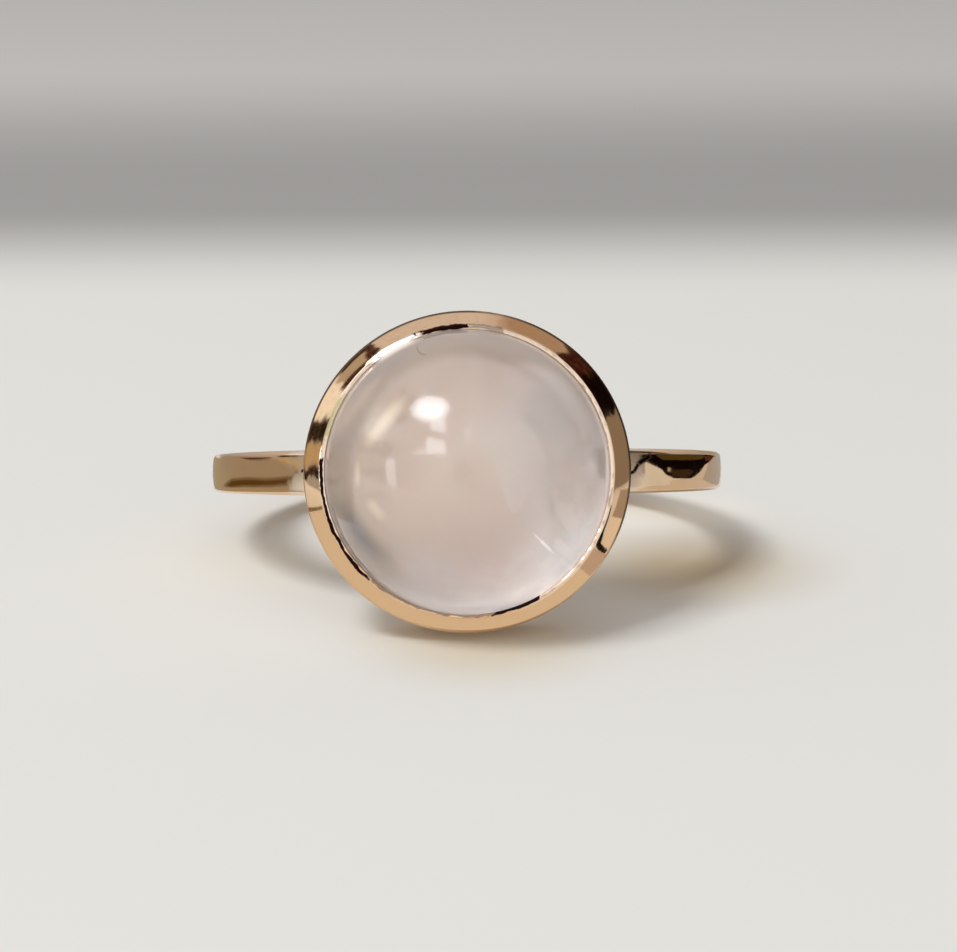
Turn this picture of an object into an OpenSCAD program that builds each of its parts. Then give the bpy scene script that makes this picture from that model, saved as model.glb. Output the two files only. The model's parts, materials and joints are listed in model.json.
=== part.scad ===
/* [Band] */
// Inner diameter of the band, US ring size 6
finger_d = 16.5; // [15:0.1:20]
// Thickness of the band, from the finger to its outer face
band_t = 1.4; // [1.2:0.05:1.7]
// Width of the band where it passes under the stone
band_head_w = 1.64; // [1.4:0.02:2]
// Width of the band at its back, opposite the stone
band_back_w = 1.1; // [1:0.02:1.4]
// Height of the outer face's slight crown above its edges
band_crown = 0.06; // [0.04:0.01:0.1]
// Width of the bevel along each outer edge of the band
band_edge = 0.16; // [0.1:0.02:0.2]

/* [Stone] */
// Diameter of the round cabochon
stone_d = 10; // [9:0.5:10.5]
// Height of the cabochon, from its flat base to the top of its dome
stone_h = 5.15; // [4.8:0.05:5.4]
// Radius of the sphere that the dome is a part of, as more than the stone's own radius
dome_more = 0.15; // [0.1:0.01:0.25]
// Bevel round the cabochon's flat base
stone_bevel = 0.2; // [0.1:0.05:0.4]

/* [Bezel] */
// Gap between the stone and the metal round it
stone_gap = 0.03; // [0.02:0.01:0.05]
// Thickness of the bezel's wall beside the stone
wall_t = 0.47; // [0.4:0.01:0.6]
// How much smaller the bezel's radius is at its base than at its rim
wall_taper = 0.2; // [0.1:0.05:0.3]
// Thickness of the plate that closes the bezel's back
plate_t = 0.6; // [0.5:0.05:0.9]
// Space between the finger and the back plate
plate_lift = 0.25; // [0.2:0.05:0.4]
// Bevel round the base of the bezel
base_bevel = 0.1; // [0.05:0.01:0.15]
// How far the rim is pressed in over the edge of the stone
lip_in = 0.14; // [0.1:0.02:0.2]
// Width of the bright bevel cut along the inside of the rim
bright_w = 0.18; // [0.14:0.02:0.22]
// Height of the bright bevel
bright_h = 0.24; // [0.18:0.02:0.3]
// Fall of the rim's wide outer bevel, from its crest to the wall
rim_fall = 0.34; // [0.28:0.02:0.4]
// Soft corner where the outer bevel turns down into the wall
rim_corner = 0.08; // [0.04:0.01:0.1]

/* [Solder] */
// Radius of the solder's hollow face, between the bezel's wall and the band
solder_curve = 1.6; // [1.4:0.1:1.8]

/* [Hidden] */
$fn = 180;

// The ring is drawn with the finger along Z and the stone towards -Y, and is then laid down.
finger_r = finger_d / 2;
band_r = finger_r + band_t;

// The band's faces close in evenly, from the head to the back
band_slope = (band_head_w - band_back_w) / (4 * band_r);
band_mid_half = (band_head_w + band_back_w) / 4;

// The crown's arc, and the radius of the outer face beside its bevels
crown_r = (pow(band_head_w / 2, 2) + pow(band_crown, 2)) / (2 * band_crown);
band_side_r = band_r - band_crown;

// Heights along the head's own axis, measured from the middle of the finger hole
plate_low = finger_r + plate_lift;
seat = plate_low + plate_t;
stone_low = seat + stone_gap;

// The stone is a ball cut flat at its base and by a cylinder round its girdle
stone_r = stone_d / 2;
dome_r = stone_r + dome_more;
dome_middle = stone_low + stone_h - dome_r;

// The bezel's radii
bore_r = stone_r + stone_gap;
hollow_r = dome_r + stone_gap;
wall_r = bore_r + wall_t;
base_r = wall_r - wall_taper;
lip_r = stone_r - lip_in;
crest_r = lip_r + bright_w;

// The heights of its rim, which follow from where the lip meets the dome
lip_low = dome_middle + sqrt(pow(hollow_r, 2) - pow(lip_r, 2));
crest = lip_low + bright_h;
shoulder = crest - rim_fall;
lip_over = 0.02;

// The upper edge of the rim's soft corner, measured in from the wall and up from the shoulder
corner_in = 0.7 * rim_corner;
corner_up = 0.35 * rim_corner;

// The middle of the solder's hollow face, which touches the bezel's wall and the band
wall_lean = 0.03;
solder_inset = 0.01;
solder_w = band_head_w - 2 * (band_edge + solder_inset);
solder_x = base_r + wall_lean + solder_curve;
solder_h = sqrt(pow(band_side_r + solder_curve, 2) - pow(solder_x, 2));
solder_foot = atan(solder_x / solder_h);

// At rest the base of the bezel and the back of the band both touch the surface
touch_r = band_side_r - band_edge;
touch_h = plate_low + base_bevel;
rest_tilt = atan((base_r - band_back_w / 2) / (touch_h + touch_r));
rest_z = touch_r * sin(rest_tilt) + band_back_w / 2 * cos(rest_tilt);

// The length along Y is shared evenly, in front of the origin and behind it
front_reach = dome_middle * cos(rest_tilt) + dome_r;
back_reach = band_r * cos(rest_tilt) + band_back_w / 2 * sin(rest_tilt);
rest_y = (front_reach - back_reach) / 2;

// Lays the drawn ring on its side, with its lowest points on the surface.
module lie_down() {
    translate([0, rest_y, rest_z])
        rotate([-rest_tilt, 0, 0])
            children();
}

// Stands a shape that is drawn round Z along the head's own axis.
module along_head() {
    rotate([90, 0, 0])
        children();
}

// The band's section: a flat inner face, straight sides and an outer face with a slight crown.
module band_section() {
    sink = 0.5;
    intersection() {
        translate([finger_r - sink, -band_head_w])
            square([band_t + sink, 2 * band_head_w]);
        translate([band_r - crown_r, 0])
            circle(crown_r);
    }
}

// A slab whose two faces close in from the head to the back of the band.
module taper_slab() {
    past = 1;
    reach = band_r + past;
    head_half = band_mid_half + reach * band_slope;
    back_half = band_mid_half - reach * band_slope;
    rotate([90, 0, 90])
        linear_extrude(2 * reach, center = true)
            polygon([
                [-reach, -head_half],
                [reach, -back_half],
                [reach, back_half],
                [-reach, head_half],
            ]);
}

// Cuts the bevel along one outer edge of the band, in a plane that leans with the band's face.
module edge_cutter(side) {
    past = 0.4;
    rotate([-side * atan(band_slope), 0, 0])
        rotate_extrude()
            polygon([
                [touch_r, side * band_mid_half],
                [band_side_r, side * (band_mid_half - band_edge)],
                [band_side_r + past, side * (band_mid_half - band_edge)],
                [band_side_r + past, side * (band_mid_half + past)],
                [touch_r, side * (band_mid_half + past)],
            ]);
}

module band() {
    difference() {
        intersection() {
            rotate_extrude()
                band_section();
            taper_slab();
        }
        edge_cutter(1);
        edge_cutter(-1);
    }
}

// The bezel's outside: closed back, leaning wall, wide outer bevel, crest and bright bevel.
module bezel_outside() {
    rotate_extrude()
        polygon([
            [0, plate_low],
            [base_r - base_bevel, plate_low],
            [base_r, touch_h],
            [wall_r, shoulder - rim_corner],
            [wall_r - corner_in, shoulder + corner_up],
            [crest_r, crest],
            [lip_r - lip_over, lip_low - lip_over * bright_h / bright_w],
            [0, lip_low],
        ]);
}

// The hollow for the stone, with the lip closing over the edge of the dome.
module stone_hollow() {
    rotate_extrude()
        intersection() {
            translate([0, dome_middle])
                circle(hollow_r);
            translate([0, seat])
                square([bore_r, stone_h + stone_r]);
        }
}

// The solder that fills the angle between the band and the bezel on one side.
module solder(side) {
    sunk = 0.1;
    root_in = 0.8;
    root_angle = 30;
    root_r = finger_r + sunk;
    linear_extrude(solder_w, center = true)
        difference() {
            polygon([
                [side * (base_r - root_in), -(plate_low + sunk)],
                [side * (base_r - sunk), -(solder_h + sunk)],
                [side * base_r, -solder_h],
                [side * band_side_r * sin(solder_foot), -band_side_r * cos(solder_foot)],
                [side * root_r * sin(root_angle), -root_r * cos(root_angle)],
            ]);
            translate([side * solder_x, -solder_h])
                circle(solder_curve);
        }
}

module band_and_bezel() {
    color("#d9a184")
        lie_down()
            difference() {
                union() {
                    band();
                    along_head()
                        bezel_outside();
                    solder(1);
                    solder(-1);
                }
                along_head()
                    stone_hollow();
                cylinder(h = 4 * band_head_w, r = finger_r, center = true);
            }
}

module cabochon() {
    color("#d8c4bb")
        lie_down()
            along_head()
                rotate_extrude()
                    intersection() {
                        translate([0, dome_middle])
                            circle(dome_r);
                        polygon([
                            [0, stone_low],
                            [stone_r - stone_bevel, stone_low],
                            [stone_r, stone_low + stone_bevel],
                            [stone_r, stone_low + stone_h],
                            [0, stone_low + stone_h + stone_r],
                        ]);
                    }
}

band_and_bezel();
cabochon();
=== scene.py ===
import json
import math

import bmesh
import bpy
from bpy.props import FloatProperty, FloatVectorProperty, IntProperty, PointerProperty
from mathutils import Matrix, Vector, noise as soft_noise


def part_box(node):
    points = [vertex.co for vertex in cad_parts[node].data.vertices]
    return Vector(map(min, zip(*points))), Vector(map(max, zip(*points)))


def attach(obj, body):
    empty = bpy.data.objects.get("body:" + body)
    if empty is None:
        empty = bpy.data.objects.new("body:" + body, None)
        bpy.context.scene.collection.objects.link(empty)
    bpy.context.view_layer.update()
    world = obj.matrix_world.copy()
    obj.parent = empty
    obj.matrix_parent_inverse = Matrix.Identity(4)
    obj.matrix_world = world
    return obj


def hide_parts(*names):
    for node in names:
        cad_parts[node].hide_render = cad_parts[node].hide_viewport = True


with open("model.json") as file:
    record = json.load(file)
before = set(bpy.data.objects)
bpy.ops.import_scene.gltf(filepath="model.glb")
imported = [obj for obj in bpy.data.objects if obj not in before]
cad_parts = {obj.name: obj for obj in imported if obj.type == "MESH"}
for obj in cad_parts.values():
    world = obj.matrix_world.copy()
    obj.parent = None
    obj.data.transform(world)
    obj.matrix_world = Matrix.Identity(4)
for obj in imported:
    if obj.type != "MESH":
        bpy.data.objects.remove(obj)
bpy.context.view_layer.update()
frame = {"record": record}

bl_info = {
    "name": "Rose Quartz Ring",
    "version": (1, 0, 0),
    "blender": (4, 5, 0),
    "location": "View3D > Sidebar > Ring",
    "description": "Makes a rose gold ring with a bezel-set rose quartz cabochon",
    "category": "Object",
}

MM = 0.001

# The ring is drawn upright: X across, Y along the finger and Z up through the stone, with the middle
# of the finger hole at the origin. LAID puts a drawn mesh where the ring rests on its side.
HOLE = next(mount for mount in frame["record"]["mounts"] if mount["name"] == "finger_hole")
HOLE_MIDDLE = Vector(HOLE["pos_m"])
ACROSS = Vector((1, 0, 0))
FINGER = Vector(HOLE["axis"]).normalized()
HEAD = ACROSS.cross(FINGER)
LAID = Matrix.Translation(HOLE_MIDDLE) @ Matrix((ACROSS, FINGER, HEAD)).transposed().to_4x4()
LAID_TURN = LAID.to_euler()

METAL_LOW, METAL_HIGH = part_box("band_and_bezel")
STONE_LOW, STONE_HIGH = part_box("cabochon")
FINGER_RADIUS = HOLE["dims"]["r_mm"] * MM
BAND_RADIUS = (METAL_HIGH.x - METAL_LOW.x) / 2
STONE_RADIUS = (STONE_HIGH.x - STONE_LOW.x) / 2

# The ball that the stone's dome is a part of
DOME_RADIUS = 5.15 * MM


def length(name, description, default, **limits):
    """A size in metres, for the sidebar."""
    return FloatProperty(
        name=name, description=description, default=default, unit="LENGTH", precision=5, **limits
    )


def share(name, description, default):
    """A share from nothing to all, for the sidebar."""
    return FloatProperty(
        name=name, description=description, default=default, min=0, max=1, subtype="FACTOR"
    )


def colour(name, description, default):
    """A colour in linear light, for the sidebar."""
    return FloatVectorProperty(
        name=name, description=description, default=default, size=3, min=0, max=1, subtype="COLOR"
    )


class RING_PG_band(bpy.types.PropertyGroup):
    """Sizes of the band"""

    finger_radius: length("Finger radius", "From the middle of the hole to the band", FINGER_RADIUS)
    thickness: length("Thickness", "From the finger to the outer face", BAND_RADIUS - FINGER_RADIUS)
    head_width: length("Head width", "Width of the band under the stone", 1.64 * MM)
    back_width: length("Back width", "Width of the band opposite the stone", 1.1 * MM)
    crown: length("Crown", "Height of the outer face above its edges", 0.06 * MM)
    edge: length("Edge", "Radius of the band's softened edges", 0.17 * MM)
    filed_at: length("Filed at", "Height at which the band is filed flat for the bezel", 8.8 * MM)
    unevenness: length("Unevenness", "Depth of the marks left by forming it", 0.012 * MM)
    around: IntProperty(name="Around", description="Sections round the band", default=400)
    section: IntProperty(name="Section", description="Points round a section", default=72)


class RING_PG_bezel(bpy.types.PropertyGroup):
    """Sizes of the bezel and its solder, as radii and as heights above the middle of the hole"""

    plate_low: length("Plate", "Height of the closed back", 8.5 * MM)
    seat: length("Seat", "Height of the seat under the stone", 9.1 * MM)
    base_radius: length("Base radius", "Radius of the bezel at its back", 5.3 * MM)
    wall_radius: length("Wall radius", "Radius of the bezel at its rim, with a sharp edge", 5.52 * MM)
    crest_radius: length("Crest radius", "Radius of the rim's highest line", 4.95 * MM)
    lip_radius: length("Lip radius", "Radius of the rim's inner edge", 4.83 * MM)
    lip_height: length("Lip height", "From the lip's inner edge on the stone to the crest", 0.05 * MM)
    bright_fall: length("Bright fall", "Fall of the narrow bright bevel inside the crest", 0.022 * MM)
    rim_fall: length("Rim fall", "Fall of the wide bevel outside the crest", 0.41 * MM)
    rim_bulge: length("Rim bulge", "How far the wide bevel stands out from straight", 0.012 * MM)
    base_edge: length("Base edge", "Radius of the softened edge at the back", 0.12 * MM)
    rim_edge: length("Rim edge", "Radius of the softened edge outside the rim", 0.09 * MM)
    crest_edge: length("Crest edge", "Radius of the softened crest", 0.05 * MM)
    lip_edge: length("Lip edge", "Radius of the softened edge inside the lip", 0.014 * MM)
    oval: length("Oval", "How much further out the sides are than the top", 0.09 * MM)
    burnish: length("Burnish", "Depth of the burnisher's marks on the bright bevel", 0.009 * MM)
    pressed: length("Pressed up", "Height of the burr left where the burnisher ended", 0.081 * MM)
    solder_curve: length("Solder curve", "Radius of the solder's hollow face", 1.6 * MM)
    solder_width: length("Solder width", "Width of the solder along the finger", 1.5 * MM)
    around: IntProperty(name="Around", description="Sections round the bezel", default=720)


class RING_PG_stone(bpy.types.PropertyGroup):
    """Sizes of the cabochon"""

    radius: length("Radius", "Radius of the girdle", STONE_RADIUS)
    base: length("Base", "Height of the flat base above the middle of the hole", 9.13 * MM)
    height: length("Height", "From the base to the top of the dome", 5.15 * MM)
    dome_radius: length("Dome radius", "Radius of the sphere of the dome", DOME_RADIUS)
    bevel: length("Bevel", "Bevel round the base", 0.2 * MM)
    gap: length("Gap", "Space drawn beside the stone. Under the lip it is a third of this", 0.03 * MM)
    around: IntProperty(name="Around", description="Sections round the stone", default=256)


class RING_PG_gold(bpy.types.PropertyGroup):
    """Finish of the rose gold, and the light and shade painted in its colours"""

    metal: colour("Metal", "Colour of the polished metal", (0.87, 0.615, 0.4))
    worn: colour("Worn", "Colour where wear has dulled it", (0.6, 0.36, 0.22))
    # Painted shade and dark reflections: in the crevice inside the rim, in the solder's creases and along
    # the rim's outer edge
    painted_dark: colour("Grime", "Colour of the grime inside the rim", (0.016, 0.005, 0.004))
    inside: colour("Inside", "Colour of the unpolished metal under the stone", (0.95, 0.86, 0.82))
    # Painted sheen and glint: the bevel inside the rim is painted paler, and white where it faces the window
    bright: colour("Bright", "Colour of the burnished edge inside the rim", (1.0, 0.82, 0.66))
    glint: colour("Glint", "Colour of the burnished edge where it catches the window", (1.0, 0.95, 0.9))
    # Painted olive reflection on the bevel inside the rim
    olive_reflection: colour("Mossy", "Colour of the tarnish on the burnished edge", (0.58, 0.52, 0.28))
    solder: colour("Solder", "Colour of the pale solder beside the bezel", (0.93, 0.79, 0.66))
    roughness: share("Roughness", "Roughness of the polish", 0.05)


class RING_PG_quartz(bpy.types.PropertyGroup):
    """Finish of the rose quartz, and the light and shade painted in its colours"""

    # Besides the stone's own pink, most of these colours paint its light and shade: the paler ones stand for
    # the window's light that the dome gathers, the dusky, dim and shaded ones are painted shade
    clear: colour("Clear", "Colour of the clearer quartz", (0.82, 0.72, 0.65))
    warm: colour("Warm", "Colour of the warm middle", (0.98, 0.845, 0.77))
    milky: colour("Milky", "Colour of the milky clouds", (1.0, 0.97, 0.97))
    dusky: colour("Dusky", "Colour of the dusky side", (0.58, 0.49, 0.415))
    hazy: colour("Hazy", "Colour of the paler cloud right of the middle", (1.0, 0.93, 0.93))
    dim: colour("Dim", "Colour of the dimmer zone below the middle", (0.82, 0.72, 0.68))
    cool: colour("Cool", "Colour of the cool cloud at the bottom", (0.9, 0.92, 1.0))
    shade: colour("Shade", "Colour of the shaded edge low on the left", (0.26, 0.26, 0.28))
    # Painted reflection of the gold cup's wall, seen through the dome
    cup_reflection: colour("Veil", "Colour of the pale veil", (1.0, 0.85, 0.7))
    gathered: colour("Gathered", "Colour of the light gathered by the dome", (0.92, 0.92, 1.0))
    see_through: share("See-through", "How much light passes through", 0.6)
    roughness: share("Haze", "How much the milkiness blurs what is behind", 0.1)


class RING_PG_stage(bpy.types.PropertyGroup):
    """Camera and floor"""

    distance: length("Distance", "From the camera to the middle of the ring", 96 * MM)
    focal: FloatProperty(name="Focal length", description="Lens, in millimetres", default=94.75)
    roll: FloatProperty(name="Roll", description="Turn of the camera", default=0.0058, unit="ROTATION")
    floor: colour("Floor", "Colour of the pale floor", (0.74, 0.75, 0.735))
    far_floor: colour("Far floor", "Colour of the floor further off", (0.36, 0.36, 0.36))
    # Painted warm shadow and light that the gold throws on the floor
    warm_floor: colour("Warm floor", "Colour of the floor beside the gold", (0.52, 0.445, 0.325))
    last_floor: colour("Last floor", "Colour of the floor furthest off", (0.57, 0.57, 0.575))


def join(tree, inputs, sockets):
    """Gives sockets their values, or links to them."""
    for key, value in sockets.items():
        if isinstance(value, bpy.types.NodeSocket):
            tree.links.new(value, inputs[key])
        else:
            inputs[key].default_value = value


def place(tree, kind, sockets=None, **settings):
    """Adds a node, with values or links for its sockets."""
    node = tree.nodes.new(kind)
    for name, value in settings.items():
        setattr(node, name, value)
    join(tree, node.inputs, sockets or {})
    return node


def calc(tree, operation, *terms, clamp=False):
    """A sum on numbers: the output of a Math node."""
    kind = "ShaderNodeMath"
    return place(tree, kind, dict(enumerate(terms)), operation=operation, use_clamp=clamp).outputs[0]


def ramp(tree, value, low, high, out_low=0.0, out_high=1.0):
    """A smooth step from one value to another."""
    sockets = {
        "Value": value,
        "From Min": low,
        "From Max": high,
        "To Min": out_low,
        "To Max": out_high,
    }
    return place(tree, "ShaderNodeMapRange", sockets, interpolation_type="SMOOTHSTEP").outputs[0]


def blend(tree, amount, first, second):
    """A mix of two colours."""
    node = place(tree, "ShaderNodeMix", data_type="RGBA")
    inputs = {socket.name: socket for socket in node.inputs if socket.enabled}
    join(tree, inputs, {"Factor": amount, "A": first, "B": second})
    return next(socket for socket in node.outputs if socket.enabled)


def opaque(rgb):
    """A colour with its alpha."""
    return (*rgb, 1.0)


def cover(tree, base, mask, rgb, strength=1.0):
    """Lays a colour over another, where a mask says."""
    return blend(tree, calc(tree, "MULTIPLY", mask, strength), base, opaque(rgb))


def vector_sum(tree, operation, first, second):
    """A sum on two vectors that gives a vector."""
    sockets = {0: first, 1: second}
    return place(tree, "ShaderNodeVectorMath", sockets, operation=operation).outputs[0]


def measure(tree, operation, *vectors):
    """A sum on vectors that gives a number."""
    sockets = dict(enumerate(vectors))
    return place(tree, "ShaderNodeVectorMath", sockets, operation=operation).outputs["Value"]


def seen_from_above(tree, spot):
    """A place without its height, and the parts of the place."""
    apart = place(tree, "ShaderNodeSeparateXYZ", {0: spot}).outputs
    flat = place(tree, "ShaderNodeCombineXYZ", {"X": apart["X"], "Y": apart["Y"]}).outputs[0]
    return flat, apart


def soft_outline(corners, steps=6):
    """Rounds an outline's corners. Each corner is (radius from the axis, height, corner radius)."""
    points = []
    for index, (r, z, soft) in enumerate(corners):
        here = Vector((r, z))
        if not soft or index in (0, len(corners) - 1):
            points.append(here)
            continue
        before = (Vector(corners[index - 1][:2]) - here).normalized()
        after = (Vector(corners[index + 1][:2]) - here).normalized()
        half = before.angle(after) / 2
        middle = here + (before + after).normalized() * (soft / math.sin(half))
        start = here + before * (soft / math.tan(half)) - middle
        turn = start.angle_signed(here + after * (soft / math.tan(half)) - middle)
        for step in range(steps + 1):
            points.append(middle + Matrix.Rotation(-turn * step / steps, 2) @ start)
    return points


def bulged(first, last, rise, steps=8):
    """The points between two corners of an outline, along a slightly raised curve."""
    start, end = Vector(first), Vector(last)
    along = end - start
    out = Vector((along.y, -along.x)).normalized()
    rows = []
    for step in range(1, steps):
        part = step / steps
        point = start + along * part + out * (rise * 4 * part * (1 - part))
        rows.append((point.x, point.y, 0))
    return rows


def spin(name, outline, around, shift=None):
    """Spins an outline from axis to axis round Z into a closed mesh, upright."""
    mesh = bpy.data.meshes.new(name)
    shape = bmesh.new()
    rings = []
    for point in outline[1:-1]:
        ring = []
        for turn in range(around):
            angle = math.tau * turn / around
            radius, height = point if shift is None else shift(point, angle)
            ring.append(shape.verts.new((radius * math.sin(angle), radius * math.cos(angle), height)))
        rings.append(ring)
    ends = [shape.verts.new((0, 0, point[1])) for point in (outline[0], outline[-1])]
    for turn in range(around):
        following = (turn + 1) % around
        for low, high in zip(rings, rings[1:]):
            shape.faces.new((low[turn], low[following], high[following], high[turn]))
        shape.faces.new((ends[0], rings[0][following], rings[0][turn]))
        shape.faces.new((ends[1], rings[-1][turn], rings[-1][following]))
    bmesh.ops.recalc_face_normals(shape, faces=shape.faces)
    shape.to_mesh(mesh)
    shape.free()
    return mesh


def add_object(name, mesh):
    """An object at the origin for a mesh."""
    piece = bpy.data.objects.new(name, mesh)
    bpy.context.scene.collection.objects.link(piece)
    return piece


def finished(piece, name, crease=32):
    """A plain mesh of a piece with its modifiers done, laid down, in a new object."""
    graph = bpy.context.evaluated_depsgraph_get()
    mesh = bpy.data.meshes.new_from_object(piece.evaluated_get(graph))
    mesh.name = name
    mesh.transform(LAID)
    mesh.shade_smooth()
    mesh.set_sharp_from_angle(angle=math.radians(crease))
    return add_object(name, mesh)


def forget(piece):
    """Takes away an object that was only a step on the way."""
    mesh = piece.data
    bpy.data.objects.remove(piece)
    bpy.data.meshes.remove(mesh)


# How close together forming leaves its marks on the band, as the scale of a noise over metres
FORMING_MARKS = 260.0


def band_tree():
    """Geometry nodes that sweep the band's section round the finger, drawn flat with +Y the head."""
    tree = bpy.data.node_groups.new("band_sweep", "GeometryNodeTree")
    face = tree.interface
    face.new_socket(name="Geometry", in_out="OUTPUT", socket_type="NodeSocketGeometry")
    sizes = "Finger radius", "Thickness", "Head width", "Back width", "Crown", "Edge", "Filed at"
    for name in (*sizes, "Unevenness"):
        face.new_socket(name=name, in_out="INPUT", socket_type="NodeSocketFloat")
    for name in ("Around", "Section"):
        face.new_socket(name=name, in_out="INPUT", socket_type="NodeSocketInt")
    face.new_socket(name="Material", in_out="INPUT", socket_type="NodeSocketMaterial")
    given = tree.nodes.new("NodeGroupInput").outputs

    half_thick = calc(tree, "MULTIPLY", given["Thickness"], 0.5)
    middle = calc(tree, "ADD", given["Finger radius"], half_thick)
    sockets = {"Resolution": given["Around"], "Radius": middle}
    path = place(tree, "GeometryNodeCurvePrimitiveCircle", sockets)
    sockets = {"Width": given["Thickness"], "Height": given["Head width"]}
    box = place(tree, "GeometryNodeCurvePrimitiveQuadrilateral", sockets)
    sockets = {"Curve": box.outputs[0], "Count": 8, "Radius": given["Edge"]}
    soft = place(tree, "GeometryNodeFilletCurve", sockets, mode="POLY")
    sockets = {"Curve": soft.outputs[0], "Count": given["Section"]}
    section = place(tree, "GeometryNodeResampleCurve", sockets)
    sockets = {"Curve": path.outputs["Curve"], "Profile Curve": section.outputs[0]}
    swept = place(tree, "GeometryNodeCurveToMesh", sockets)

    position = place(tree, "GeometryNodeInputPosition").outputs[0]
    flat, apart = seen_from_above(tree, position)
    radius = measure(tree, "LENGTH", flat)
    outward = calc(tree, "DIVIDE", calc(tree, "SUBTRACT", radius, middle), half_thick, clamp=True)
    half_head = calc(tree, "MULTIPLY", given["Head width"], 0.5)
    off_middle = calc(tree, "DIVIDE", apart["Z"], half_head)
    drop = calc(tree, "MULTIPLY", calc(tree, "POWER", off_middle, 2.0), given["Crown"])
    drop = calc(tree, "MULTIPLY", drop, outward)

    sockets = {"Vector": position, "Scale": FORMING_MARKS, "Detail": 1.0}
    marks = place(tree, "ShaderNodeTexNoise", sockets).outputs[0]
    marks = calc(tree, "SUBTRACT", marks, 0.5)
    marks = calc(tree, "MULTIPLY", marks, given["Unevenness"])
    new_radius = calc(tree, "ADD", calc(tree, "SUBTRACT", radius, drop), marks)
    grown = calc(tree, "DIVIDE", new_radius, radius)
    filed = calc(tree, "MINIMUM", calc(tree, "MULTIPLY", apart["Y"], grown), given["Filed at"])

    outer = calc(tree, "ADD", given["Finger radius"], given["Thickness"])
    to_head = calc(tree, "DIVIDE", calc(tree, "ADD", apart["Y"], outer), outer)
    to_head = calc(tree, "MULTIPLY", to_head, 0.5)
    taper = calc(tree, "DIVIDE", given["Back width"], given["Head width"])
    narrowing = calc(tree, "MULTIPLY", calc(tree, "SUBTRACT", 1.0, taper), to_head)
    narrowing = calc(tree, "ADD", narrowing, taper)
    sockets = {
        "X": calc(tree, "MULTIPLY", apart["X"], grown),
        "Y": filed,
        "Z": calc(tree, "MULTIPLY", apart["Z"], narrowing),
    }
    moved = place(tree, "ShaderNodeCombineXYZ", sockets)
    sockets = {"Geometry": swept.outputs[0], "Position": moved.outputs[0]}
    formed = place(tree, "GeometryNodeSetPosition", sockets)
    plain = place(tree, "GeometryNodeRealizeInstances", {"Geometry": formed.outputs[0]})
    sockets = {"Geometry": plain.outputs[0], "Material": given["Material"]}
    painted = place(tree, "GeometryNodeSetMaterial", sockets)
    place(tree, "NodeGroupOutput", {"Geometry": painted.outputs[0]})
    return tree


def make_band(sizes, gold):
    """The band, upright, as a plain mesh object."""
    tree = band_tree()
    piece = add_object("band_step", bpy.data.meshes.new("band_step"))
    nodes = piece.modifiers.new("Band sweep", "NODES")
    nodes.node_group = tree
    for socket in tree.interface.items_tree:
        if socket.in_out == "INPUT":
            size = socket.name.lower().replace(" ", "_")
            nodes[socket.identifier] = gold if size == "material" else getattr(sizes, size)
    graph = bpy.context.evaluated_depsgraph_get()
    mesh = bpy.data.meshes.new_from_object(piece.evaluated_get(graph))
    piece.modifiers.clear()
    mesh.transform(Matrix.Rotation(math.radians(90), 4, "X"))
    forget(piece)
    return add_object("band_step", mesh)


def dome_middle(stone):
    """The height of the middle of the sphere that the dome is a part of."""
    return stone.base + stone.height - stone.dome_radius


def hollow_radius(stone):
    """The radius of the hollow over the dome as drawn, before the rim's oval shape moves its wall."""
    return stone.dome_radius + stone.gap / 3


def lip_base(sizes, stone):
    """The height at which the lip's inner edge lies over the dome."""
    return dome_middle(stone) + math.sqrt(hollow_radius(stone) ** 2 - sizes.lip_radius**2)


# What the burnisher left on the lip: short marks and longer waves, as noise scales round it, with the
# marks' least share and the clock angle where they are deepest, and the middle and half width of a burr
SHORT_MARKS = 18
LONG_WAVES = 3
LEAST_MARKS = 0.4
DEEPEST_MARKS = math.radians(100)
BURR_MIDDLE = 330
BURR_HALF = 11.5

# The share of the rim's oval shape that reaches the lip
LIP_OVAL = 0.15

# How much further out the lip's upper edge is than its lower one
LIP_LEAN = 0.005 * MM


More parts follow.
